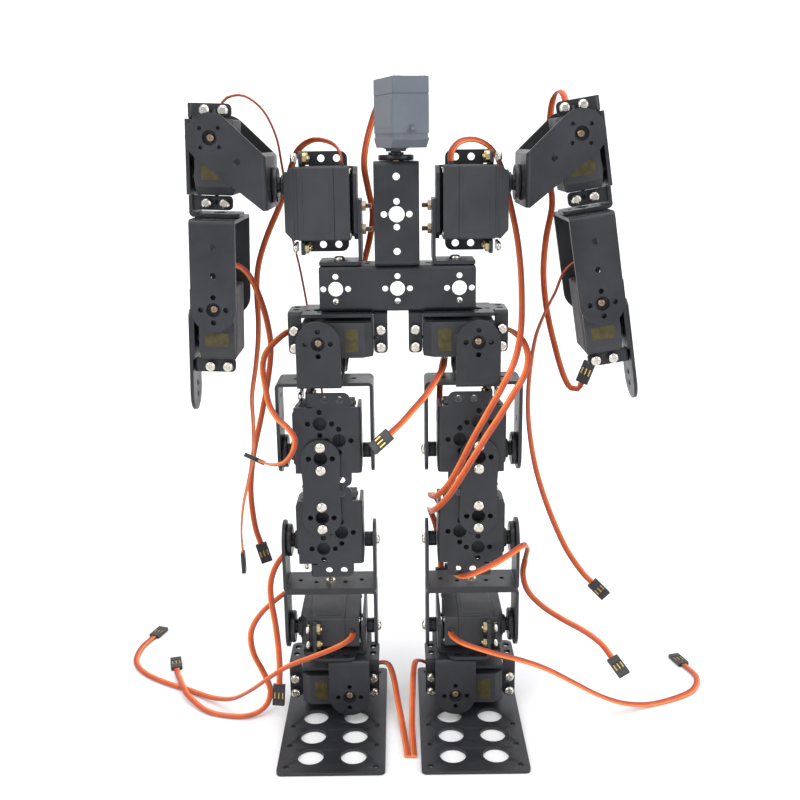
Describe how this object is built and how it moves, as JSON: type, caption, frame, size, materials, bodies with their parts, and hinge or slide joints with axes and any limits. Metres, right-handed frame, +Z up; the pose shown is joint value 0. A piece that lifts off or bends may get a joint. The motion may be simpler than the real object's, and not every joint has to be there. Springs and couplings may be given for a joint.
{
  "type": "humanoid robot kit",
  "caption": "standing biped robot of hobby servos joined by black sheet-metal U brackets, servo brackets and perforated foot plates",
  "frame": {"origin": "on the ground, under the middle of the box round the robot itself, its free leads left out", "axes": "+Z up, the robot faces -Y, its own left side is +X"},
  "size_m": [0.3889, 0.1825, 0.3861],
  "materials": {
    "bracket": "satin black anodised sheet",
    "servo": "matt black moulded plastic",
    "lead": "flat three-wire lead, orange, red and brown"
  },
  "bodies": {
    "torso": {"waist_beam": "bracket", "chest_bracket": "bracket", "left_shoulder_angle": "bracket", "left_shoulder_servo": "servo", "left_shoulder_servo_bracket": "bracket", "left_hip_roll_servo": "servo", "left_hip_roll_servo_bracket": "bracket", "right_shoulder_angle": "bracket", "right_shoulder_servo": "servo", "right_shoulder_servo_bracket": "bracket", "right_hip_roll_servo": "servo", "right_hip_roll_servo_bracket": "bracket"},
    "head": {"head_servo": "servo"},
    "left_shoulder": {"left_shoulder_yoke": "bracket"},
    "left_upper_arm": {"left_upper_arm_servo": "servo", "left_upper_arm_servo_bracket": "bracket", "left_elbow_yoke": "bracket"},
    "left_forearm": {"left_elbow_servo": "servo", "left_elbow_servo_bracket": "bracket", "left_hand_blade": "bracket"},
    "left_hip": {"left_hip_roll_yoke": "bracket", "left_thigh_yoke": "bracket"},
    "left_thigh": {"left_hip_pitch_servo": "servo", "left_hip_pitch_servo_bracket": "bracket", "left_knee_servo": "servo", "left_knee_servo_bracket": "bracket", "left_thigh_link": "bracket"},
    "left_shin": {"left_shin_double_yoke": "bracket"},
    "left_ankle": {"left_ankle_pitch_servo": "servo", "left_ankle_pitch_servo_bracket": "bracket", "left_ankle_roll_yoke": "bracket", "left_ankle_lead": "lead"},
    "left_foot": {"left_foot_servo": "servo", "left_foot_servo_bracket": "bracket", "left_foot_angle": "bracket", "left_foot_plate": "bracket"},
    "right_shoulder": {"right_shoulder_yoke": "bracket"},
    "right_upper_arm": {"right_upper_arm_servo": "servo", "right_upper_arm_servo_bracket": "bracket", "right_elbow_yoke": "bracket"},
    "right_forearm": {"right_elbow_servo": "servo", "right_elbow_servo_bracket": "bracket", "right_hand_blade": "bracket", "right_elbow_lead": "lead"},
    "right_hip": {"right_hip_roll_yoke": "bracket", "right_thigh_yoke": "bracket"},
    "right_thigh": {"right_hip_pitch_servo": "servo", "right_hip_pitch_servo_bracket": "bracket", "right_knee_servo": "servo", "right_knee_servo_bracket": "bracket", "right_thigh_link": "bracket"},
    "right_shin": {"right_shin_double_yoke": "bracket"},
    "right_ankle": {"right_ankle_pitch_servo": "servo", "right_ankle_pitch_servo_bracket": "bracket", "right_ankle_roll_yoke": "bracket", "right_ankle_lead": "lead"},
    "right_foot": {"right_foot_servo": "servo", "right_foot_servo_bracket": "bracket", "right_foot_angle": "bracket", "right_foot_plate": "bracket"}
  },
  "joints": [
    {"name": "head_yaw", "type": "hinge", "parent": "torso", "child": "head", "pos_m": [-0.0081, 0.013, 0.345], "axis": [0, 0, 1], "range_deg": [-90, 90]},
    {"name": "left_shoulder_pitch", "type": "hinge", "parent": "torso", "child": "left_shoulder", "pos_m": [0.0609, 0.013, 0.33], "axis": [1, 0, 0], "range_deg": [-90, 90]},
    {"name": "left_shoulder_roll", "type": "hinge", "parent": "left_shoulder", "child": "left_upper_arm", "pos_m": [0.0904, 0.013, 0.356], "axis": [0, -1, 0], "range_deg": [-15, 80]},
    {"name": "left_elbow", "type": "hinge", "parent": "left_upper_arm", "child": "left_forearm", "pos_m": [0.10479, 0.013, 0.26513], "axis": [0, -1, 0], "range_deg": [-20, 90]},
    {"name": "left_hip_roll", "type": "hinge", "parent": "torso", "child": "left_hip", "pos_m": [0.0367, 0.013, 0.2442], "axis": [0, 1, 0], "range_deg": [-25, 4]},
    {"name": "left_hip_pitch", "type": "hinge", "parent": "left_hip", "child": "left_thigh", "pos_m": [0.0354, 0.013, 0.1737], "axis": [1, 0, 0], "range_deg": [-90, 45]},
    {"name": "left_knee", "type": "hinge", "parent": "left_thigh", "child": "left_shin", "pos_m": [0.0354, 0.013, 0.1163], "axis": [1, 0, 0], "range_deg": [-5, 90]},
    {"name": "left_ankle_pitch", "type": "hinge", "parent": "left_shin", "child": "left_ankle", "pos_m": [0.0354, 0.013, 0.058], "axis": [1, 0, 0], "range_deg": [-30, 30]},
    {"name": "left_ankle_roll", "type": "hinge", "parent": "left_ankle", "child": "left_foot", "pos_m": [0.0249, 0.0233, 0.018], "axis": [0, 1, 0], "range_deg": [-15, 20]},
    {"name": "right_shoulder_pitch", "type": "hinge", "parent": "torso", "child": "right_shoulder", "pos_m": [-0.0771, 0.013, 0.33], "axis": [1, 0, 0], "range_deg": [-90, 90]},
    {"name": "right_shoulder_roll", "type": "hinge", "parent": "right_shoulder", "child": "right_upper_arm", "pos_m": [-0.1066, 0.013, 0.356], "axis": [0, 1, 0], "range_deg": [-8, 86]},
    {"name": "right_elbow", "type": "hinge", "parent": "right_upper_arm", "child": "right_forearm", "pos_m": [-0.10981, 0.013, 0.26406], "axis": [0, 1, 0], "range_deg": [-18, 90]},
    {"name": "right_hip_roll", "type": "hinge", "parent": "torso", "child": "right_hip", "pos_m": [-0.0529, 0.013, 0.2442], "axis": [0, 1, 0], "range_deg": [-4, 25]},
    {"name": "right_hip_pitch", "type": "hinge", "parent": "right_hip", "child": "right_thigh", "pos_m": [-0.0516, 0.013, 0.1737], "axis": [1, 0, 0], "range_deg": [-90, 45]},
    {"name": "right_knee", "type": "hinge", "parent": "right_thigh", "child": "right_shin", "pos_m": [-0.0516, 0.013, 0.1163], "axis": [1, 0, 0], "range_deg": [-5, 90]},
    {"name": "right_ankle_pitch", "type": "hinge", "parent": "right_shin", "child": "right_ankle", "pos_m": [-0.0516, 0.013, 0.058], "axis": [1, 0, 0], "range_deg": [-30, 30]},
    {"name": "right_ankle_roll", "type": "hinge", "parent": "right_ankle", "child": "right_foot", "pos_m": [-0.0411, 0.0233, 0.018], "axis": [0, 1, 0], "range_deg": [-20, 15]}
  ]
}
